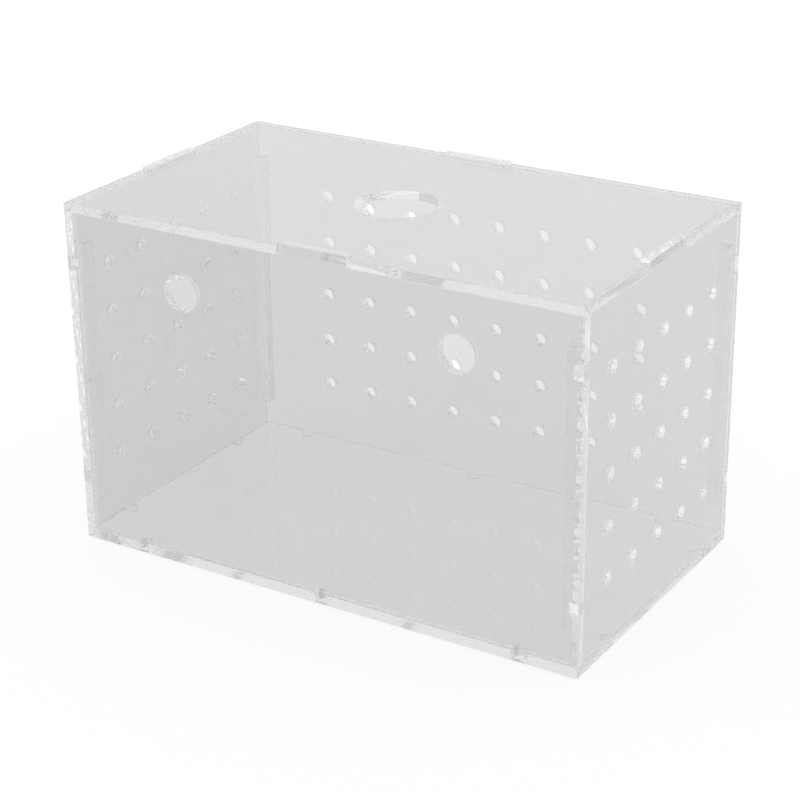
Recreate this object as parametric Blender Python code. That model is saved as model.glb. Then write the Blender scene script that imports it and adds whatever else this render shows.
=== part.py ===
"""Fish breeding box: six laser-cut sheets of clear acrylic keyed into each other, with a lift-off lid.

Four square rods inside the corners back up the joints of the walls.

Lengths are in metres. +Z is up, the front with the two suction-cup holes faces -Y, and the origin is
the middle of the underside.
"""

import math

import bmesh
import bpy
from mathutils import Vector

# Overall size of the closed box, to the top face of the lid
BOX_LENGTH = 0.157
BOX_WIDTH = 0.090
BOX_HEIGHT = 0.100

# Sheets, and the running gap between any two of them
BASE_SHEET = 0.0030
WALL_SHEET = 0.0026
LID_SHEET = 0.0024
GAP = 0.0003

# Keys that locate the walls in the base, and each wall in its neighbour
KEY_WIDTH = 0.0038
FOOT_SPACING_LONG = 0.060
FOOT_SPACING_SHORT = 0.054
CORNER_KEY_SPACING = 0.0637
CORNER_KEY_RISE = 0.0009

# Square rods that stand in the corners inside, at half height
CORNER_ROD_SIDE = 0.0028
CORNER_ROD_LENGTH = 0.077

# The tab at the top of each wall that holds the lid in place
LID_TAB_WIDTH = 0.021
LID_TAB_PROUD = 0.0007

# Holes
FEEDING_HOLE_DIAMETER = 0.0233
FEEDING_HOLE_FORWARD = 0.0018
CUP_HOLE_DIAMETER = 0.0105
CUP_HOLE_SPREAD = 0.084
CUP_HOLE_BELOW_TOP = 0.019
VENT_DIAMETER = 0.0038
VENT_PITCH = 0.0145
VENT_ROWS = 5
BACK_VENT_COLUMNS = 8
END_VENT_COLUMNS = 5

# How far a hole cutter runs past each face of its sheet
OVERRUN = 0.001

# Sides that stand for a circle
FEEDING_HOLE_SIDES = 48
CUP_HOLE_SIDES = 32
VENT_SIDES = 16
NOTCH_END_SIDES = 8

# Heights and lengths that follow from the sizes above
WALL_BOTTOM = BASE_SHEET + GAP
WALL_TOP = BOX_HEIGHT - LID_SHEET - GAP
WALL_HEIGHT = WALL_TOP - WALL_BOTTOM
WALL_MIDDLE = (WALL_TOP + WALL_BOTTOM) / 2
LID_TAB_REACH = LID_SHEET + GAP + LID_TAB_PROUD
LID_NOTCH_WIDTH = LID_TAB_WIDTH + 2 * GAP
KEY_NOTCH_WIDTH = KEY_WIDTH + 2 * GAP
NOTCH_DEPTH = WALL_SHEET + GAP

# The front and the back carry their features in the middle of the sheet, which the lap at one corner shifts
LONG_MIDDLE = NOTCH_DEPTH / 2
END_MIDDLE = 0

# Places along an edge, from the box's middle
LONG_FEET = (LONG_MIDDLE - FOOT_SPACING_LONG, LONG_MIDDLE, LONG_MIDDLE + FOOT_SPACING_LONG)
SHORT_FEET = (END_MIDDLE - FOOT_SPACING_SHORT / 2, END_MIDDLE + FOOT_SPACING_SHORT / 2)
UPWARD_KEYS = (CORNER_KEY_RISE - CORNER_KEY_SPACING / 2, CORNER_KEY_RISE + CORNER_KEY_SPACING / 2)
DOWNWARD_KEYS = (-CORNER_KEY_RISE - CORNER_KEY_SPACING / 2, -CORNER_KEY_RISE + CORNER_KEY_SPACING / 2)


def clear_scene():
    """Removes whatever the file holds."""
    for thing in list(bpy.data.objects):
        bpy.data.objects.remove(thing)


def acrylic(name, colour, roughness):
    """A clear acrylic with the tint that its sheet shows."""
    material = bpy.data.materials.new(name)
    material.use_nodes = True
    shader = material.node_tree.nodes["Principled BSDF"]
    shader.inputs["Base Color"].default_value = colour
    shader.inputs["Roughness"].default_value = roughness
    shader.inputs["Metallic"].default_value = 0
    shader.inputs["Transmission Weight"].default_value = 1
    shader.inputs["IOR"].default_value = 1.49
    return material


def tabs(places, width, reach):
    """Square tabs that stand out of an edge, as runs of (along, outward) points."""
    return [
        [(at - width / 2, 0), (at - width / 2, reach), (at + width / 2, reach), (at + width / 2, 0)]
        for at in places
    ]


def notches(places, width, depth):
    """Square notches cut into an edge."""
    return tabs(places, width, -depth)


def round_notches(places, width, depth):
    """Notches whose inner end is a half circle, past the square part that a key fills."""
    runs = []
    for at in places:
        turns = [math.pi * step / NOTCH_END_SIDES for step in range(NOTCH_END_SIDES + 1)]
        end = [(at - width / 2 * math.cos(turn), -depth - width / 2 * math.sin(turn)) for turn in turns]
        runs.append([(at - width / 2, 0), *end, (at + width / 2, 0)])
    return runs


def outline(low, high, bottom=(), right=(), top=(), left=()):
    """The counter-clockwise outline between two corners, with what stands out of each edge.

    Places along an edge run the way the outline does, and count from the sheet's origin.
    """
    corners = (Vector(low), Vector((high[0], low[1])), Vector(high), Vector((low[0], high[1])))
    ends = corners[1:] + corners[:1]
    points = []
    for start, end, runs in zip(corners, ends, (bottom, right, top, left)):
        along = (end - start).normalized()
        outward = Vector((along.y, -along.x))
        zero = start - along * start.dot(along)
        points.append(start)
        for run in runs:
            points.extend(zero + along * s + outward * d for s, d in run)
    return points


def sheet(name, points, thickness, material):
    """A flat sheet: the outline in its own XY plane, with its thickness along +Z."""
    shape = bmesh.new()
    face = shape.faces.new([shape.verts.new((*point, 0)) for point in points])
    raised = bmesh.ops.extrude_face_region(shape, geom=[face])
    lifted = [part for part in raised["geom"] if isinstance(part, bmesh.types.BMVert)]
    bmesh.ops.translate(shape, verts=lifted, vec=(0, 0, thickness))
    bmesh.ops.recalc_face_normals(shape, faces=shape.faces)
    mesh = bpy.data.meshes.new(name)
    shape.to_mesh(mesh)
    shape.free()
    mesh.materials.append(material)
    plate = bpy.data.objects.new(name, mesh)
    bpy.context.collection.objects.link(plate)
    return plate


def drill(plate, thickness, holes):
    """Cuts (x, y, diameter, sides) holes through a sheet with one hidden cutter."""
    shape = bmesh.new()
    for x, y, diameter, sides in holes:
        made = bmesh.ops.create_cone(
            shape,
            cap_ends=True,
            segments=sides,
            radius1=diameter / 2,
            radius2=diameter / 2,
            depth=thickness + 2 * OVERRUN,
        )
        bmesh.ops.translate(shape, verts=made["verts"], vec=(x, y, thickness / 2))
    mesh = bpy.data.meshes.new(plate.name + "_drill")
    shape.to_mesh(mesh)
    shape.free()
    cutter = bpy.data.objects.new(plate.name + "_drill", mesh)
    cutter.parent = plate
    cutter.hide_render = True
    cutter.display_type = "WIRE"
    bpy.context.collection.objects.link(cutter)
    cut = plate.modifiers.new("holes", "BOOLEAN")
    cut.operation = "DIFFERENCE"
    cut.solver = "EXACT"
    cut.object = cutter


def vents(columns, middle):
    """The grid of vents of a wall, centred on that place along it."""
    middle_column = (columns - 1) / 2
    middle_row = (VENT_ROWS - 1) / 2
    return [
        (
            middle + (column - middle_column) * VENT_PITCH,
            (row - middle_row) * VENT_PITCH,
            VENT_DIAMETER,
            VENT_SIDES,
        )
        for column in range(columns)
        for row in range(VENT_ROWS)
    ]


def stand(plate, reach, heading):
    """Stands a wall up with its outer face that far from the middle, facing the heading (0 is the front)."""
    plate.rotation_euler = (math.pi / 2, 0, heading)
    inner = reach - WALL_SHEET
    plate.location = (inner * math.sin(heading), -inner * math.cos(heading), WALL_MIDDLE)


def wall(name, side, feet, middle, holes, material):
    """A wall of a side of that length.

    Seen from outside, its right edge runs to the corner and is notched, and its left edge stops at its
    neighbour and has the keys that fill the neighbour's notches, so the four walls lap like a pinwheel.
    """
    points = outline(
        (NOTCH_DEPTH - side / 2, -WALL_HEIGHT / 2),
        (side / 2, WALL_HEIGHT / 2),
        bottom=tabs(feet, KEY_WIDTH, WALL_BOTTOM),
        right=notches(UPWARD_KEYS, KEY_NOTCH_WIDTH, NOTCH_DEPTH),
        top=tabs([-middle], LID_TAB_WIDTH, LID_TAB_REACH),
        left=tabs(DOWNWARD_KEYS, KEY_WIDTH, NOTCH_DEPTH),
    )
    plate = sheet(name, points, WALL_SHEET, material)
    drill(plate, WALL_SHEET, holes)
    return plate


def long_wall(name, heading, holes, material):
    """The front or the back, with three feet."""
    plate = wall(name, BOX_LENGTH, LONG_FEET, LONG_MIDDLE, holes, material)
    stand(plate, BOX_WIDTH / 2, heading)


def end_wall(name, heading, material):
    """A vented end, with two feet."""
    holes = vents(END_VENT_COLUMNS, END_MIDDLE)
    plate = wall(name, BOX_WIDTH, SHORT_FEET, END_MIDDLE, holes, material)
    stand(plate, BOX_LENGTH / 2, heading)


def base_plate(material):
    """The floor, under all four walls, with a round-ended notch for each foot."""
    long_notches = round_notches(LONG_FEET, KEY_NOTCH_WIDTH, NOTCH_DEPTH)
    short_notches = round_notches(SHORT_FEET, KEY_NOTCH_WIDTH, NOTCH_DEPTH)
    points = outline(
        (-BOX_LENGTH / 2, -BOX_WIDTH / 2),
        (BOX_LENGTH / 2, BOX_WIDTH / 2),
        bottom=long_notches,
        right=short_notches,
        top=long_notches,
        left=short_notches,
    )
    sheet("base_plate", points, BASE_SHEET, material)


def corner_rods(material):
    """The rods inside the corners, each the running gap away from both of its walls."""
    half = CORNER_ROD_SIDE / 2
    reach_x = BOX_LENGTH / 2 - WALL_SHEET - GAP - half
    reach_y = BOX_WIDTH / 2 - WALL_SHEET - GAP - half
    foot = WALL_MIDDLE - CORNER_ROD_LENGTH / 2
    for row, toward_back in (("front", -1), ("back", 1)):
        for column, toward_right in (("left", -1), ("right", 1)):
            name = f"corner_rod_{row}_{column}"
            rod = sheet(name, outline((-half, -half), (half, half)), CORNER_ROD_LENGTH, material)
            rod.location = (toward_right * reach_x, toward_back * reach_y, foot)


def lid_plate(material):
    """The lid, which lies on the walls between their tabs and has the feeding hole near its middle."""
    long_notch = notches([LONG_MIDDLE], LID_NOTCH_WIDTH, NOTCH_DEPTH)
    end_notch = notches([END_MIDDLE], LID_NOTCH_WIDTH, NOTCH_DEPTH)
    points = outline(
        (-BOX_LENGTH / 2, -BOX_WIDTH / 2),
        (BOX_LENGTH / 2, BOX_WIDTH / 2),
        bottom=long_notch,
        right=end_notch,
        top=long_notch,
        left=end_notch,
    )
    plate = sheet("lid_plate", points, LID_SHEET, material)
    drill(plate, LID_SHEET, [(0, -FEEDING_HOLE_FORWARD, FEEDING_HOLE_DIAMETER, FEEDING_HOLE_SIDES)])
    plate.location.z = BOX_HEIGHT - LID_SHEET


def cup_holes():
    """The two holes of the front that hold the suction cups."""
    height = BOX_HEIGHT - CUP_HOLE_BELOW_TOP - WALL_MIDDLE
    places = (LONG_MIDDLE - CUP_HOLE_SPREAD / 2, LONG_MIDDLE + CUP_HOLE_SPREAD / 2)
    return [(place, height, CUP_HOLE_DIAMETER, CUP_HOLE_SIDES) for place in places]


def build():
    """Makes the whole box."""
    clear_scene()
    wall_acrylic = acrylic("wall_acrylic", (0.93, 0.94, 0.95, 1), 0.02)
    base_acrylic = acrylic("base_acrylic", (0.94, 0.95, 0.95, 1), 0.03)
    lid_acrylic = acrylic("lid_acrylic", (0.95, 0.96, 0.96, 1), 0.02)
    base_plate(base_acrylic)
    long_wall("front_plate", 0, cup_holes(), wall_acrylic)
    end_wall("right_end_plate", math.pi / 2, wall_acrylic)
    long_wall("back_plate", math.pi, vents(BACK_VENT_COLUMNS, LONG_MIDDLE), wall_acrylic)
    end_wall("left_end_plate", -math.pi / 2, wall_acrylic)
    corner_rods(wall_acrylic)
    lid_plate(lid_acrylic)


build()
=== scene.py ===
"""Looks of a clear acrylic fish breeding box: six laser-cut sheets and four square corner rods.

Lengths are in metres. +Z is up and the front, with the two suction-cup holes, faces -Y.
"""

import logging
import math
from abc import ABC, abstractmethod
from collections.abc import Iterable, Sequence
from dataclasses import dataclass
from enum import Enum

import bmesh
import bpy
from mathutils import Matrix, Vector


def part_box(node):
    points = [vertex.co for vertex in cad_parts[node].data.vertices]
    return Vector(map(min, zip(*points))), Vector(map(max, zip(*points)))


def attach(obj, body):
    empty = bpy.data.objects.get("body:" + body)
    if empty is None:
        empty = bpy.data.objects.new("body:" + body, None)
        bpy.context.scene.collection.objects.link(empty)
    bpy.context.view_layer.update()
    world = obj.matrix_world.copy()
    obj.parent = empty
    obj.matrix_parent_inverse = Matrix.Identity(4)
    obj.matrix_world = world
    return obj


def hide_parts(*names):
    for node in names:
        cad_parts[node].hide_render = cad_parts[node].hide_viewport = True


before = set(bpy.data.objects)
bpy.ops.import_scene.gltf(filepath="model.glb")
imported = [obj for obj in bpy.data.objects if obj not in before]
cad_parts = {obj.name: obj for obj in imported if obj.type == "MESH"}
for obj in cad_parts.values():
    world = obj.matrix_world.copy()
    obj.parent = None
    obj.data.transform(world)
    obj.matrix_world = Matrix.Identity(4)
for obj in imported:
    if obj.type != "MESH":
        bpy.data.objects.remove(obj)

LOG = logging.getLogger("breeding_box")

# One tab or notch, as points (along the edge, outward)
Run = list[tuple[float, float]]


class Side(Enum):
    """The four walls, each with the turn about +Z that takes the front to it."""

    FRONT = 0.0
    RIGHT = math.pi / 2
    BACK = math.pi
    LEFT = -math.pi / 2


@dataclass(frozen=True)
class Hole:
    """A round hole through a sheet, in the sheet's own plane."""

    x: float
    y: float
    diameter: float
    sides: int


@dataclass(frozen=True)
class BoxSizes:
    """Sizes that the sheets share. The first six are read from the frame.

    seam is the gap between two sheets, and rim the width of a sheet's broken rim. long_middle is how far
    the features of the front and the back sit to the right of the box's middle, seen from outside.
    """

    length: float
    width: float
    height: float
    base_sheet: float
    wall_sheet: float
    lid_sheet: float
    seam: float = 0.00006
    key_width: float = 0.0038
    key_spacing: float = 0.0637
    key_rise: float = 0.0009
    long_foot_spacing: float = 0.060
    short_foot_spacing: float = 0.054
    lid_tab_width: float = 0.021
    lid_tab_proud: float = 0.0007
    long_middle: float = 0.00145
    rim: float = 0.0001

    @classmethod
    def from_frame(cls) -> "BoxSizes":
        """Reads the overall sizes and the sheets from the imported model.

        Returns:
            The sizes, with everything else at its own value.
        """
        base_low, base_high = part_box("base_plate")
        front_low, front_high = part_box("front_plate")
        lid_low, lid_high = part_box("lid_plate")
        return cls(
            length=base_high.x - base_low.x,
            width=base_high.y - base_low.y,
            height=lid_high.z - base_low.z,
            base_sheet=base_high.z - base_low.z,
            wall_sheet=front_high.y - front_low.y,
            lid_sheet=lid_high.z - lid_low.z,
        )

    @property
    def wall_bottom(self) -> float:
        """The height of the walls' lower edge."""
        return self.base_sheet + self.seam

    @property
    def wall_top(self) -> float:
        """The height of the walls' upper edge, under the lid."""
        return self.height - self.lid_sheet - self.seam

    @property
    def wall_middle(self) -> float:
        """The height of the walls' middle."""
        return (self.wall_top + self.wall_bottom) / 2

    @property
    def notch_depth(self) -> float:
        """How deep a notch takes a neighbouring wall."""
        return self.wall_sheet + self.seam

    @property
    def long_feet(self) -> tuple[float, ...]:
        """Places of the feet along the front and the back."""
        return tuple(self.long_middle + step * self.long_foot_spacing for step in (-1, 0, 1))

    @property
    def short_feet(self) -> tuple[float, ...]:
        """Places of the feet along the ends."""
        return tuple(step * self.short_foot_spacing / 2 for step in (-1, 1))


class EffectGroups:
    """Shader node groups that the acrylic finishes share. Scales are in features per metre."""

    HAZE_SCALE = 45.0
    HAZE_DETAIL = 5.0
    HAZE_ROUGHNESS = 0.62
    HAZE_RANGE = (0.48, 0.78)
    WAVE_SCALE = 14.0
    WAVE_DETAIL = 1.0
    RIDGES_ALONG = 1000.0
    RIDGES_ACROSS = 260.0
    RIDGE_DETAIL = 3.0
    FROST_RANGE = (0.35, 0.75)

    def __init__(self) -> None:
        """Builds both groups."""
        self.handling = self._handling_marks()
        self.ridges = self._laser_ridges()

    @staticmethod
    def _new_group(
        name: str, vector: str, values: dict[str, float], outputs: Sequence[str]
    ) -> tuple[bpy.types.NodeTree, bpy.types.Node, bpy.types.Node]:
        """Starts a group with one vector input, its values and its outputs.

        Args:
            name: The group's name.
            vector: Name of the vector input.
            values: Name and first value of each float input.
            outputs: Names of the float outputs.

        Returns:
            The tree, its input node and its output node.
        """
        tree = bpy.data.node_groups.new(name, "ShaderNodeTree")
        tree.interface.new_socket(vector, in_out="INPUT", socket_type="NodeSocketVector")
        for label, value in values.items():
            socket = tree.interface.new_socket(label, in_out="INPUT", socket_type="NodeSocketFloat")
            socket.default_value = value
        for label in outputs:
            tree.interface.new_socket(label, in_out="OUTPUT", socket_type="NodeSocketFloat")
        return tree, tree.nodes.new("NodeGroupInput"), tree.nodes.new("NodeGroupOutput")

    @staticmethod
    def _spread(
        tree: bpy.types.NodeTree, source: bpy.types.NodeSocket, span: tuple[float, float]
    ) -> bpy.types.NodeSocket:
        """Spreads part of a value's range over 0 to 1.

        Args:
            tree: The nodes to add it to.
            source: The value.
            span: The ends of the part that is spread.

        Returns:
            The socket with the spread value.
        """
        spread = tree.nodes.new("ShaderNodeMapRange")
        spread.inputs["From Min"].default_value = span[0]
        spread.inputs["From Max"].default_value = span[1]
        tree.links.new(source, spread.inputs["Value"])
        return spread.outputs["Result"]

    def _handling_marks(self) -> bpy.types.NodeTree:
        """Faint haze where the sheet was handled, and the slow waves of cast sheet.

        Returns:
            The node group, with outputs Haze and Wave.
        """
        tree, given, out = self._new_group(
            "handling_marks",
            "Place",
            {"Haze Scale": self.HAZE_SCALE, "Wave Scale": self.WAVE_SCALE},
            ["Haze", "Wave"],
        )
        haze = tree.nodes.new("ShaderNodeTexNoise")
        haze.inputs["Detail"].default_value = self.HAZE_DETAIL
        haze.inputs["Roughness"].default_value = self.HAZE_ROUGHNESS
        wave = tree.nodes.new("ShaderNodeTexNoise")
        wave.inputs["Detail"].default_value = self.WAVE_DETAIL
        for noise, scale in ((haze, "Haze Scale"), (wave, "Wave Scale")):
            tree.links.new(given.outputs["Place"], noise.inputs["Vector"])
            tree.links.new(given.outputs[scale], noise.inputs["Scale"])
        tree.links.new(self._spread(tree, haze.outputs["Fac"], self.HAZE_RANGE), out.inputs["Haze"])
        tree.links.new(wave.outputs["Fac"], out.inputs["Wave"])
        return tree

    def _laser_ridges(self) -> bpy.types.NodeTree:
        """Fine ridges that a laser leaves across a cut edge, from one face to the other.

        Returns:
            The node group, with outputs Height and Frost.
        """
        tree, given, out = self._new_group(
            "laser_ridges",
            "Cut",
            {"Along": self.RIDGES_ALONG, "Across": self.RIDGES_ACROSS},
            ["Height", "Frost"],
        )
        stretch = tree.nodes.new("ShaderNodeCombineXYZ")
        scaled = tree.nodes.new("ShaderNodeVectorMath")
        scaled.operation = "MULTIPLY"
        ridge = tree.nodes.new("ShaderNodeTexNoise")
        ridge.inputs["Scale"].default_value = 1
        ridge.inputs["Detail"].default_value = self.RIDGE_DETAIL
        tree.links.new(given.outputs["Along"], stretch.inputs["X"])
        tree.links.new(given.outputs["Across"], stretch.inputs["Y"])
        tree.links.new(given.outputs["Cut"], scaled.inputs[0])
        tree.links.new(stretch.outputs["Vector"], scaled.inputs[1])
        tree.links.new(scaled.outputs["Vector"], ridge.inputs["Vector"])
        tree.links.new(ridge.outputs["Fac"], out.inputs["Height"])
        tree.links.new(self._spread(tree, ridge.outputs["Fac"], self.FROST_RANGE), out.inputs["Frost"])
        return tree


@dataclass(frozen=True)
class AcrylicFinish(ABC):
    """A neutral acrylic surface.

    clearness is the share of light that passes where the surface is clean, and haze_clearness where it is
    hazy. clarity is the share of the surface that is clear and not frosted. bump is the relief's height.
    """

    name: str
    clearness: float
    haze_clearness: float
    clear_roughness: float
    haze_roughness: float
    bump: float
    clarity: float = 1.0

    IOR = 1.49

    @abstractmethod
    def _pattern(
        self, tree: bpy.types.NodeTree, effects: EffectGroups
    ) -> tuple[bpy.types.NodeSocket, bpy.types.NodeSocket]:
        """Places the surface's pattern.

        Args:
            tree: The material's nodes.
            effects: The shared node groups.

        Returns:
            The mask of its haze and the height of its relief.
        """

    def material(self, effects: EffectGroups) -> bpy.types.Material:
        """Makes the material.

        Args:
            effects: The shared node groups.

        Returns:
            The material.
        """
        made = bpy.data.materials.new(self.name)
        made.use_nodes = True
        mask, height = self._pattern(made.node_tree, effects)
        self._dress(made.node_tree, mask, height)
        return made

    @staticmethod
    def _tint(clearness: float) -> tuple[float, float, float, float]:
        """A neutral colour that lets that share of the light through."""
        return (clearness, clearness, clearness, 1.0)

    def _shader(self, tree: bpy.types.NodeTree) -> bpy.types.Node:
        """Sets up the shader of clear acrylic.

        Args:
            tree: The material's nodes.

        Returns:
            The Principled shader.
        """
        shader = tree.nodes["Principled BSDF"]
        shader.inputs["Base Color"].default_value = self._tint(self.clearness)
        shader.inputs["Metallic"].default_value = 0
        shader.inputs["Transmission Weight"].default_value = self.clarity
        shader.inputs["IOR"].default_value = self.IOR
        return shader

    def _dress(
        self, tree: bpy.types.NodeTree, mask: bpy.types.NodeSocket, height: bpy.types.NodeSocket
    ) -> None:
        """Links a mask to colour and roughness, and a height to the bump.

        Args:
            tree: The material's nodes.
            mask: Where the surface is hazy.
            height: Its relief.
        """
        shader = self._shader(tree)
        if self.haze_clearness != self.clearness:
            colour = tree.nodes.new("ShaderNodeMix")
            colour.data_type = "RGBA"
            colour.inputs["A"].default_value = self._tint(self.clearness)
            colour.inputs["B"].default_value = self._tint(self.haze_clearness)
            tree.links.new(mask, colour.inputs["Factor"])
            tree.links.new(colour.outputs["Result"], shader.inputs["Base Color"])
        rough = tree.nodes.new("ShaderNodeMapRange")
        rough.inputs["To Min"].default_value = self.clear_roughness
        rough.inputs["To Max"].default_value = self.haze_roughness
        bump = tree.nodes.new("ShaderNodeBump")
        bump.inputs["Strength"].default_value = 1
        bump.inputs["Distance"].default_value = self.bump
        tree.links.new(mask, rough.inputs["Value"])
        tree.links.new(rough.outputs["Result"], shader.inputs["Roughness"])
        tree.links.new(height, bump.inputs["Height"])
        tree.links.new(bump.outputs["Normal"], shader.inputs["Normal"])


@dataclass(frozen=True)
class PolishedFace(AcrylicFinish):
    """The broad faces of a sheet. HAZE_SHARE is how much of its clearness the haze keeps."""

    HAZE_SHARE = 0.98

    @classmethod
    def of_sheet(cls, node: str, clearness: float) -> "PolishedFace":
        """The faces of a sheet that lets that share of the light through.

        Args:
            node: The sheet's name.
            clearness: The share of light that passes both faces.

        Returns:
            The finish.
        """
        return cls(
            name=node + "_face",
            clearness=clearness,
            haze_clearness=clearness * cls.HAZE_SHARE,
            clear_roughness=0.0,
            haze_roughness=0.02,
            bump=0.00001,
        )

    def _pattern(
        self, tree: bpy.types.NodeTree, effects: EffectGroups
    ) -> tuple[bpy.types.NodeSocket, bpy.types.NodeSocket]:
        """Places the handling marks on object coordinates.

        Args:
            tree: The material's nodes.
            effects: The shared node groups.

        Returns:
            The haze and the wave.
        """
        place = tree.nodes.new("ShaderNodeTexCoord")
        marks = tree.nodes.new("ShaderNodeGroup")
        marks.node_tree = effects.handling
        tree.links.new(place.outputs["Object"], marks.inputs["Place"])
        return marks.outputs["Haze"], marks.outputs["Wave"]


@dataclass(frozen=True)
class LaserCut(AcrylicFinish):
    """A laser-cut surface, with its ridges per metre along the cut and across the sheet."""

    along: float = EffectGroups.RIDGES_ALONG
    across: float = EffectGroups.RIDGES_ACROSS

    @classmethod
    def of_edge(cls, node: str, clearness: float) -> "LaserCut":
        """The outer edge of a sheet.

        Args:
            node: The sheet's name.
            clearness: The share of light that enters and leaves through the cut.

        Returns:
            The finish.
        """
        return cls(
            name=node + "_edge",
            clearness=clearness,
            haze_clearness=clearness,
            clear_roughness=0.05,
            haze_roughness=0.1,
            bump=0.000006,
            clarity=0.99,
        )

    @classmethod
    def of_hole(cls, node: str, shade_speck_clearness: float) -> "LaserCut":
        """The walls of a sheet's holes, darkened a little all over and more in fine specks: painted shade
        that tones down the light seen through the holes.

        Args:
            node: The sheet's name.
            shade_speck_clearness: The share of light that passes the specks.

        Returns:
            The finish.
        """
        return cls(
            name=node + "_hole",
            # Painted shade: hole walls let through less light than the outer edges
            clearness=0.95,
            haze_clearness=shade_speck_clearness,
            clear_roughness=0.0,
            haze_roughness=0.04,
            bump=0.00002,
            clarity=0.99,
            along=2500,
            across=1200,
        )

    def _pattern(
        self, tree: bpy.types.NodeTree, effects: EffectGroups
    ) -> tuple[bpy.types.NodeSocket, bpy.types.NodeSocket]:
        """Places the ridges on the cut's own map.

        Args:
            tree: The material's nodes.
            effects: The shared node groups.

        Returns:
            The frost and the height.
        """
        cut = tree.nodes.new("ShaderNodeUVMap")
        cut.uv_map = AcrylicSheet.CUT_MAP
        ridges = tree.nodes.new("ShaderNodeGroup")
        ridges.node_tree = effects.ridges
        ridges.inputs["Along"].default_value = self.along
        ridges.inputs["Across"].default_value = self.across
        tree.links.new(cut.outputs["UV"], ridges.inputs["Cut"])
        return ridges.outputs["Frost"], ridges.outputs["Height"]


class EdgeRuns:
    """Tabs and notches along an edge, as runs of (along, outward) points."""

    NOTCH_END_STEPS = 14

    @staticmethod
    def tabs(places: Iterable[float], width: float, reach: float) -> list[Run]:
        """Square tabs, or square notches where the reach is negative.

        Args:
            places: The middle of each along the edge.
            width: How wide they are.
            reach: How far they stand out of the edge.

        Returns:
            One run for each tab.
        """
        return [
            [(at - width / 2, 0.0), (at - width / 2, reach), (at + width / 2, reach), (at + width / 2, 0.0)]
            for at in places
        ]

    @classmethod
    def round_notches(cls, places: Iterable[float], width: float, depth: float) -> list[Run]:
        """Notches whose inner end is a half circle.

        Args:
            places: The middle of each along the edge.
            width: How wide they are.
            depth: How deep the square part is.

        Returns:
            One run for each notch.
        """
        turns = [math.pi * step / cls.NOTCH_END_STEPS for step in range(cls.NOTCH_END_STEPS + 1)]
        half = width / 2
        return [
            [
                (at - half, 0.0),
                *((at - half * math.cos(turn), -depth - half * math.sin(turn)) for turn in turns),
                (at + half, 0.0),
            ]
            for at in places
        ]


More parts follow.
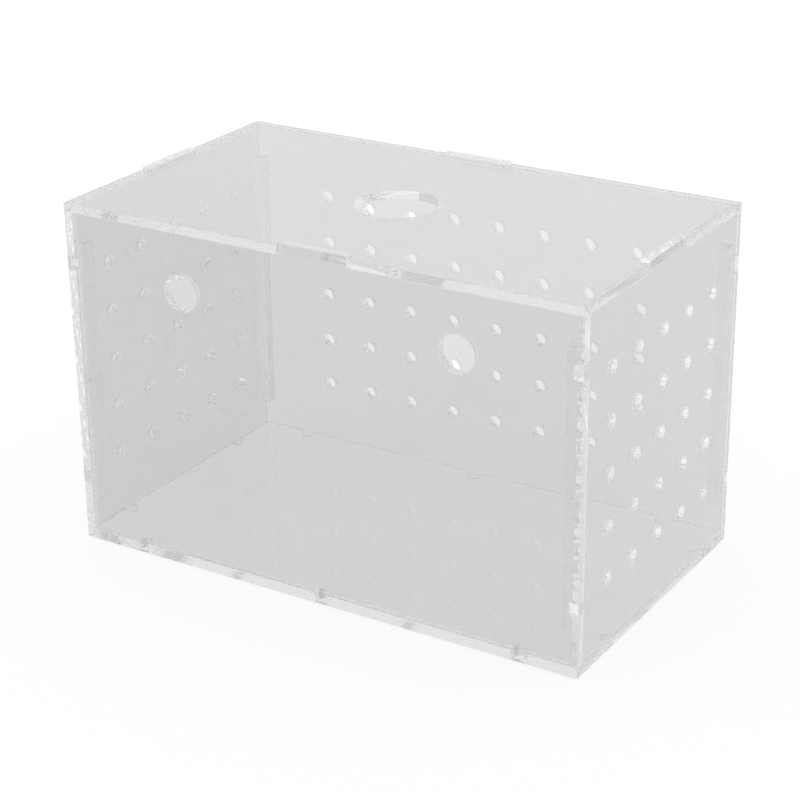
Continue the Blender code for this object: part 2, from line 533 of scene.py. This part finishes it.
@dataclass
class AcrylicSheet:
    """One sheet or rod: its outline between two corners, its holes and its place.

    edges holds the tabs and notches of the bottom, right, top and left edges. clearness is the share of
    light that passes the faces, edge_clearness the outer edges and shade_speck_clearness the specks in the holes.
    A rod is a sheet as thick as the rod is long: polished_sides polishes its sides and leaves its ends cut.
    RIM_REACH is how far past a hole's wall its broken rim may reach, in rims.
    """

    node: str
    body: str
    slot: str
    thickness: float
    low: tuple[float, float]
    high: tuple[float, float]
    edges: tuple[list[Run], list[Run], list[Run], list[Run]]
    holes: list[Hole]
    place: Matrix
    rim: float
    # Painted shade: a clearness below one greys a sheet's clear acrylic to show the darker surroundings
    # seen through it
    clearness: float
    edge_clearness: float
    # Painted shade: the specks darken the holes' walls to tone down the light seen through the holes
    shade_speck_clearness: float = 0.82
    polished_sides: bool = False

    CUT_MAP = "cut"
    FACE, EDGE, HOLE = 0, 1, 2
    RIM_SEGMENTS = 2
    RIM_REACH = 1.5
    FLAT = 0.99
    CREASE = math.radians(40)

    def _outline(self) -> list[Vector]:
        """Draws the outline with the tabs and notches of its edges.

        Returns:
            The counter-clockwise points.
        """
        corners = [
            Vector(self.low),
            Vector((self.high[0], self.low[1])),
            Vector(self.high),
            Vector((self.low[0], self.high[1])),
        ]
        points: list[Vector] = []
        for start, end, runs in zip(corners, corners[1:] + corners[:1], self.edges):
            along = (end - start).normalized()
            outward = Vector((along.y, -along.x))
            zero = start - along * start.dot(along)
            points.append(start)
            for run in runs:
                points.extend(zero + along * place + outward * reach for place, reach in run)
        return points

    def _cut_out(self) -> bmesh.types.BMesh:
        """Fills the outline round its holes and gives it its thickness.

        Returns:
            The closed sheet in its own plane.
        """
        shape = bmesh.new()
        rim = [shape.verts.new((*point, 0)) for point in self._outline()]
        for first, second in zip(rim, rim[1:] + rim[:1]):
            shape.edges.new((first, second))
        for hole in self.holes:
            radius = hole.diameter / 2
            ring = bmesh.ops.create_circle(shape, cap_ends=False, segments=hole.sides, radius=radius)
            bmesh.ops.translate(shape, verts=ring["verts"], vec=(hole.x, hole.y, 0))
        bmesh.ops.triangle_fill(shape, use_beauty=True, edges=shape.edges[:], normal=(0, 0, 1))
        raised = bmesh.ops.extrude_face_region(shape, geom=shape.faces[:])
        lifted = [part for part in raised["geom"] if isinstance(part, bmesh.types.BMVert)]
        bmesh.ops.translate(shape, verts=lifted, vec=(0, 0, self.thickness))
        bmesh.ops.recalc_face_normals(shape, faces=shape.faces[:])
        return shape

    def _is_flat(self, face: bmesh.types.BMFace) -> bool:
        """Whether a face lies in the sheet's plane."""
        return abs(face.normal.z) > self.FLAT

    def _round_rims(self, shape: bmesh.types.BMesh) -> None:
        """Breaks the sharp rims of both faces.

        Args:
            shape: The sheet, changed in place.
        """
        rims = [
            edge
            for edge in shape.edges
            if len(edge.link_faces) == 2 and sum(self._is_flat(face) for face in edge.link_faces) == 1
        ]
        bmesh.ops.bevel(
            shape,
            geom=rims,
            offset=self.rim,
            offset_type="OFFSET",
            affect="EDGES",
            segments=self.RIM_SEGMENTS,
            profile=0.5,
            material=-1,
            clamp_overlap=True,
        )

    def _hole_round(self, face: bmesh.types.BMFace) -> Hole | None:
        """The hole whose wall or rim a face belongs to, if it does.

        Args:
            face: The face.

        Returns:
            The hole, or None.
        """
        if self._is_flat(face):
            return None
        middle = face.calc_center_median()
        for hole in self.holes:
            away = math.hypot(middle.x - hole.x, middle.y - hole.y)
            if away < hole.diameter / 2 + self.RIM_REACH * self.rim:
                return hole
        return None

    def _cut_place(self, face: bmesh.types.BMFace, hole: Hole | None, point: Vector) -> tuple[float, float]:
        """Where a corner of a face lies on the cut's map.

        Args:
            face: The face.
            hole: The hole that it belongs to, if it does.
            point: The corner.

        Returns:
            Its run along the edge or round the hole, and its depth in the sheet. On a flat face, its place.
        """
        if self._is_flat(face):
            return point.x, point.y
        if hole:
            centre = Vector((hole.x, hole.y))
            middle = face.calc_center_median()
            start = math.atan2(middle.y - hole.y, middle.x - hole.x)
            turn = (point.xy - centre).angle_signed(middle.xy - centre, 0.0)
            return (start + turn) * hole.diameter / 2, point.z
        return point.x * -face.normal.y + point.y * face.normal.x, point.z

    def _map_cuts(self, shape: bmesh.types.BMesh) -> None:
        """Sorts the faces by finish, and maps each cut by its run along the edge and its depth.

        Args:
            shape: The sheet, changed in place.
        """
        layer = shape.loops.layers.uv.new(self.CUT_MAP)
        for face in shape.faces:
            hole = self._hole_round(face)
            if hole:
                face.material_index = self.HOLE
            else:
                face.material_index = self.EDGE if self._is_flat(face) == self.polished_sides else self.FACE
            for loop in face.loops:
                loop[layer].uv = self._cut_place(face, hole, loop.vert.co)

    def build(self, effects: EffectGroups) -> bpy.types.Object:
        """Makes the sheet, dresses it and puts it on its body.

        Args:
            effects: The shared node groups.

        Returns:
            The finished piece.
        """
        finishes: list[AcrylicFinish] = [
            PolishedFace.of_sheet(self.node, self.clearness),
            LaserCut.of_edge(self.node, self.edge_clearness),
        ]
        if self.holes:
            finishes.append(LaserCut.of_hole(self.node, self.shade_speck_clearness))
        shape = self._cut_out()
        self._round_rims(shape)
        self._map_cuts(shape)
        bmesh.ops.transform(shape, matrix=self.place, verts=shape.verts[:])
        mesh = bpy.data.meshes.new(self.node + "_acrylic")
        shape.to_mesh(mesh)
        shape.free()
        for finish in finishes:
            mesh.materials.append(finish.material(effects))
        mesh.set_sharp_from_angle(angle=self.CREASE)
        for polygon in mesh.polygons:
            polygon.use_smooth = polygon.material_index != self.FACE and not self.polished_sides
        piece = bpy.data.objects.new(self.node + "_acrylic", mesh)
        bpy.context.scene.collection.objects.link(piece)
        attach(piece, self.body)
        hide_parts(self.node)
        return piece


@dataclass
class VentGrid:
    """A grid of vents, centred on a place along its wall."""

    columns: int
    rows: int = 5
    pitch: float = 0.0145
    diameter: float = 0.0038
    sides: int = 32

    def holes(self, middle: float) -> list[Hole]:
        """The vents as holes.

        Args:
            middle: The place along the wall.

        Returns:
            One hole for each vent.
        """
        return [
            Hole(
                middle + (column - (self.columns - 1) / 2) * self.pitch,
                (row - (self.rows - 1) / 2) * self.pitch,
                self.diameter,
                self.sides,
            )
            for column in range(self.columns)
            for row in range(self.rows)
        ]


@dataclass
class Walls:
    """The four walls, which lap at the corners like a pinwheel.

    Each wall's clearness is the share of light that it lets through, matched to how grey the real one
    looks. It is painted shade: clear acrylic greyed wall by wall to show the darker surroundings seen
    through it.
    """

    sizes: BoxSizes
    cup_hole_diameter: float = 0.0105
    cup_hole_spread: float = 0.084
    cup_hole_below_top: float = 0.019
    cup_hole_sides: int = 96
    back_columns: int = 8
    end_columns: int = 5
    edge_clearness: float = 0.985

    # Painted shade, wall by wall: the grey of the darker surroundings seen through each clear wall
    PAINTED_SHADE_CLEARNESS = {Side.FRONT: 0.82, Side.RIGHT: 0.785, Side.BACK: 0.775, Side.LEFT: 0.72}

    def _wall(self, node: str, side: Side, holes: list[Hole]) -> AcrylicSheet:
        """One wall, notched on its right edge and keyed on its left, seen from outside.

        Args:
            node: The CAD node that it replaces.
            side: Which wall it is.
            holes: Its holes.

        Returns:
            The sheet, ready to build.
        """
        sizes = self.sizes
        is_long = side in (Side.FRONT, Side.BACK)
        span, reach = (sizes.length, sizes.width / 2) if is_long else (sizes.width, sizes.length / 2)
        middle = sizes.long_middle if is_long else 0.0
        half = (sizes.wall_top - sizes.wall_bottom) / 2
        up = [sizes.key_rise + step * sizes.key_spacing / 2 for step in (-1, 1)]
        down = [-place for place in up]
        stand = Matrix.Rotation(side.value, 4, "Z") @ Matrix.Translation(
            (0, sizes.wall_sheet - reach, sizes.wall_middle)
        )
        feet = sizes.long_feet if is_long else sizes.short_feet
        tab_reach = sizes.lid_sheet + sizes.seam + sizes.lid_tab_proud
        notch_width = sizes.key_width + 2 * sizes.seam
        return AcrylicSheet(
            node=node,
            body="box",
            slot="wall_acrylic",
            thickness=sizes.wall_sheet,
            low=(sizes.notch_depth - span / 2, -half),
            high=(span / 2, half),
            edges=(
                EdgeRuns.tabs(feet, sizes.key_width, sizes.wall_bottom),
                EdgeRuns.tabs(up, notch_width, -sizes.notch_depth),
                EdgeRuns.tabs([-middle], sizes.lid_tab_width, tab_reach),
                EdgeRuns.tabs(sorted(down), sizes.key_width, sizes.notch_depth),
            ),
            holes=holes,
            place=stand @ Matrix.Rotation(math.pi / 2, 4, "X"),
            rim=sizes.rim,
            clearness=self.PAINTED_SHADE_CLEARNESS[side],
            edge_clearness=self.edge_clearness,
        )

    def sheets(self) -> list[AcrylicSheet]:
        """Lays out the holes and makes the walls.

        Returns:
            All four walls.
        """
        sizes = self.sizes
        cup_height = sizes.height - self.cup_hole_below_top - sizes.wall_middle
        cups = [
            Hole(
                sizes.long_middle + step * self.cup_hole_spread / 2,
                cup_height,
                self.cup_hole_diameter,
                self.cup_hole_sides,
            )
            for step in (-1, 1)
        ]
        back = VentGrid(self.back_columns).holes(sizes.long_middle)
        end = VentGrid(self.end_columns).holes(0.0)
        return [
            self._wall("front_plate", Side.FRONT, cups),
            self._wall("right_end_plate", Side.RIGHT, end),
            self._wall("back_plate", Side.BACK, back),
            self._wall("left_end_plate", Side.LEFT, end),
        ]


@dataclass
class CornerRods:
    """The square rods inside the corners, cut to length."""

    sizes: BoxSizes
    clearness: float = 0.97
    edge_clearness: float = 0.985

    def sheets(self) -> list[AcrylicSheet]:
        """Places a rod in each corner, a seam away from both walls.

        Returns:
            All four rods, each as a small square sheet as thick as the rod is long.
        """
        sizes = self.sizes
        made: list[AcrylicSheet] = []
        for row, toward_back in (("front", -1), ("back", 1)):
            for column, toward_right in (("left", -1), ("right", 1)):
                node = f"corner_rod_{row}_{column}"
                low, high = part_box(node)
                side = high.x - low.x
                away = sizes.wall_sheet + sizes.seam + side / 2
                x = toward_right * (sizes.length / 2 - away)
                y = toward_back * (sizes.width / 2 - away)
                made.append(
                    AcrylicSheet(
                        node=node,
                        body="box",
                        slot="wall_acrylic",
                        thickness=high.z - low.z,
                        low=(-side / 2, -side / 2),
                        high=(side / 2, side / 2),
                        edges=([], [], [], []),
                        holes=[],
                        place=Matrix.Translation((x, y, low.z)),
                        rim=sizes.rim,
                        clearness=self.clearness,
                        edge_clearness=self.edge_clearness,
                        polished_sides=True,
                    )
                )
        return made


@dataclass
class FloorAndLid:
    """The base plate and the lid, which share the box's footprint."""

    sizes: BoxSizes
    # Painted shade: the base's and the lid's faces and edges are greyed to show the darker surroundings
    # seen through the clear acrylic
    base_shade_clearness: float = 0.84
    base_edge_shade_clearness: float = 0.8
    feeding_hole_diameter: float = 0.0233
    feeding_hole_forward: float = 0.0018
    feeding_hole_sides: int = 160
    lid_shade_clearness: float = 0.835
    lid_edge_shade_clearness: float = 0.79
    # Painted shade in specks on the feeding hole's wall
    lid_shade_speck_clearness: float = 0.95

    def base(self) -> AcrylicSheet:
        """Lays out the base, with a round-ended notch for each foot.

        Returns:
            The sheet, ready to build.
        """
        sizes = self.sizes
        width = sizes.key_width + 2 * sizes.seam
        long_edge = EdgeRuns.round_notches(sizes.long_feet, width, sizes.notch_depth)
        short_edge = EdgeRuns.round_notches(sizes.short_feet, width, sizes.notch_depth)
        return AcrylicSheet(
            node="base_plate",
            body="box",
            slot="base_acrylic",
            thickness=sizes.base_sheet,
            low=(-sizes.length / 2, -sizes.width / 2),
            high=(sizes.length / 2, sizes.width / 2),
            edges=(long_edge, short_edge, long_edge, short_edge),
            holes=[],
            place=Matrix.Identity(4),
            rim=sizes.rim,
            clearness=self.base_shade_clearness,
            edge_clearness=self.base_edge_shade_clearness,
        )

    def lid(self) -> AcrylicSheet:
        """Lays out the lid, with a notch for each wall's tab and the feeding hole.

        Returns:
            The sheet, ready to build.
        """
        sizes = self.sizes
        width = sizes.lid_tab_width + 2 * sizes.seam
        long_edge = EdgeRuns.tabs([sizes.long_middle], width, -sizes.notch_depth)
        short_edge = EdgeRuns.tabs([0.0], width, -sizes.notch_depth)
        feeding = Hole(0, -self.feeding_hole_forward, self.feeding_hole_diameter, self.feeding_hole_sides)
        return AcrylicSheet(
            node="lid_plate",
            body="lid",
            slot="lid_acrylic",
            thickness=sizes.lid_sheet,
            low=(-sizes.length / 2, -sizes.width / 2),
            high=(sizes.length / 2, sizes.width / 2),
            edges=(long_edge, short_edge, long_edge, short_edge),
            holes=[feeding],
            place=Matrix.Translation((0, 0, sizes.height - sizes.lid_sheet)),
            rim=sizes.rim,
            clearness=self.lid_shade_clearness,
            edge_clearness=self.lid_edge_shade_clearness,
            shade_speck_clearness=self.lid_shade_speck_clearness,
        )


@dataclass
class Studio:
    """The camera at the photograph's viewing angle, a pale floor and plain soft light.

    Angles are in degrees, and focal_pixels is the focal length in pixels of a picture picture_pixels wide.
    light_bounces is high because the light that shows in a cut edge is reflected dozens of times.
    """

    azimuth: float = 32.066
    elevation: float = 23.355
    roll: float = -0.743
    distance: float = 0.600252
    aim_height: float = 0.050
    slide_right: float = -0.000774
    slide_up: float = -0.006798
    focal_pixels: float = 2177.76
    picture_pixels: float = 800
    sensor: float = 36
    nearest: float = 0.01
    floor_radius: float = 6
    floor_sides: int = 96
    floor_drop: float = 0.0004
    floor_grey: float = 0.9
    floor_white: float = 1.03
    floor_shadow_share: float = 0.15
    sky_top: float = 1.0
    sky_side: float = 0.95
    light_bounces: int = 128

    def camera(self) -> None:
        """Places the camera."""
        azimuth = math.radians(self.azimuth)
        elevation = math.radians(self.elevation)
        roll = math.radians(self.roll)
        away = math.cos(elevation)
        forward = Vector((-math.sin(azimuth) * away, math.cos(azimuth) * away, -math.sin(elevation)))
        level = Vector((math.cos(azimuth), math.sin(azimuth), 0))
        rise = level.cross(forward)
        right = math.cos(roll) * level + math.sin(roll) * rise
        up = math.cos(roll) * rise - math.sin(roll) * level
        eye = Vector((0, 0, self.aim_height)) + self.slide_right * right + self.slide_up * up
        lens = bpy.data.cameras.new("camera")
        lens.sensor_width = self.sensor
        lens.lens = self.focal_pixels / self.picture_pixels * self.sensor
        lens.clip_start = self.nearest
        holder = bpy.data.objects.new("camera", lens)
        turn = Matrix((right, up, -forward)).transposed().to_4x4()
        holder.matrix_world = Matrix.Translation(eye - self.distance * forward) @ turn
        bpy.context.scene.collection.objects.link(holder)
        bpy.context.scene.camera = holder

    @staticmethod
    def _seen(tree: bpy.types.NodeTree) -> bpy.types.NodeSocket:
        """A mask of the rays that see the background: camera, glossy and transmission rays.

        Args:
            tree: The nodes to add it to.

        Returns:
            The socket, 1 for those rays and 0 for the others.
        """
        path = tree.nodes.new("ShaderNodeLightPath")
        total = path.outputs["Is Camera Ray"]
        for name in ("Is Glossy Ray", "Is Transmission Ray"):
            either = tree.nodes.new("ShaderNodeMath")
            either.operation = "MAXIMUM"
            tree.links.new(total, either.inputs[0])
            tree.links.new(path.outputs[name], either.inputs[1])
            total = either.outputs[0]
        return total

    def floor(self) -> None:
        """A round pale floor, a hair under the box, that keeps part of the box's shadow."""
        shape = bmesh.new()
        bmesh.ops.create_circle(shape, cap_ends=True, segments=self.floor_sides, radius=self.floor_radius)
        bmesh.ops.translate(shape, verts=shape.verts[:], vec=(0, 0, -self.floor_drop))
        mesh = bpy.data.meshes.new("pale_floor")
        shape.to_mesh(mesh)
        shape.free()
        material = bpy.data.materials.new("pale_floor")
        material.use_nodes = True
        tree = material.node_tree
        tree.nodes.remove(tree.nodes["Principled BSDF"])
        matt = tree.nodes.new("ShaderNodeBsdfDiffuse")
        matt.inputs["Color"].default_value = (self.floor_grey, self.floor_grey, self.floor_grey, 1)
        white = tree.nodes.new("ShaderNodeEmission")
        white.inputs["Strength"].default_value = self.floor_white
        share = tree.nodes.new("ShaderNodeMath")
        share.operation = "MULTIPLY"
        share.inputs[1].default_value = 1 - self.floor_shadow_share
        mixed = tree.nodes.new("ShaderNodeMixShader")
        tree.links.new(self._seen(tree), share.inputs[0])
        tree.links.new(share.outputs[0], mixed.inputs[0])
        tree.links.new(matt.outputs[0], mixed.inputs[1])
        tree.links.new(white.outputs[0], mixed.inputs[2])
        tree.links.new(mixed.outputs[0], tree.nodes["Material Output"].inputs["Surface"])
        mesh.materials.append(material)
        floor = bpy.data.objects.new("pale_floor", mesh)
        bpy.context.scene.collection.objects.link(floor)

    def light(self) -> None:
        """Soft light from all round, a little stronger from above."""
        world = bpy.data.worlds.new("studio")
        bpy.context.scene.world = world
        world.use_nodes = True
        tree = world.node_tree
        direction = tree.nodes.new("ShaderNodeTexCoord")
        parts = tree.nodes.new("ShaderNodeSeparateXYZ")
        level = tree.nodes.new("ShaderNodeMapRange")
        level.inputs["To Min"].default_value = self.sky_side
        level.inputs["To Max"].default_value = self.sky_top
        tree.links.new(direction.outputs["Generated"], parts.inputs[0])
        tree.links.new(parts.outputs["Z"], level.inputs["Value"])
        tree.links.new(level.outputs["Result"], tree.nodes["Background"].inputs["Strength"])
        tree.nodes["Background"].inputs["Color"].default_value = (1, 1, 1, 1)

    def set_up(self) -> None:
        """Makes the whole studio."""
        self.camera()
        self.floor()
        self.light()
        scene = bpy.context.scene
        scene.view_settings.view_transform = "Standard"
        scene.cycles.max_bounces = self.light_bounces
        scene.cycles.glossy_bounces = self.light_bounces
        scene.cycles.transmission_bounces = self.light_bounces


def main() -> None:
    """Builds the box and its studio."""
    logging.basicConfig(level=logging.INFO, format="%(name)s: %(message)s")
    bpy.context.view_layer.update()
    sizes = BoxSizes.from_frame()
    effects = EffectGroups()
    footprint = FloorAndLid(sizes)
    for sheet in [footprint.base(), *Walls(sizes).sheets(), *CornerRods(sizes).sheets(), footprint.lid()]:
        piece = sheet.build(effects)
        LOG.info("%s: %d faces on body %s", piece.name, len(piece.data.polygons), sheet.body)
    Studio().set_up()


if __name__ == "__main__":
    main()
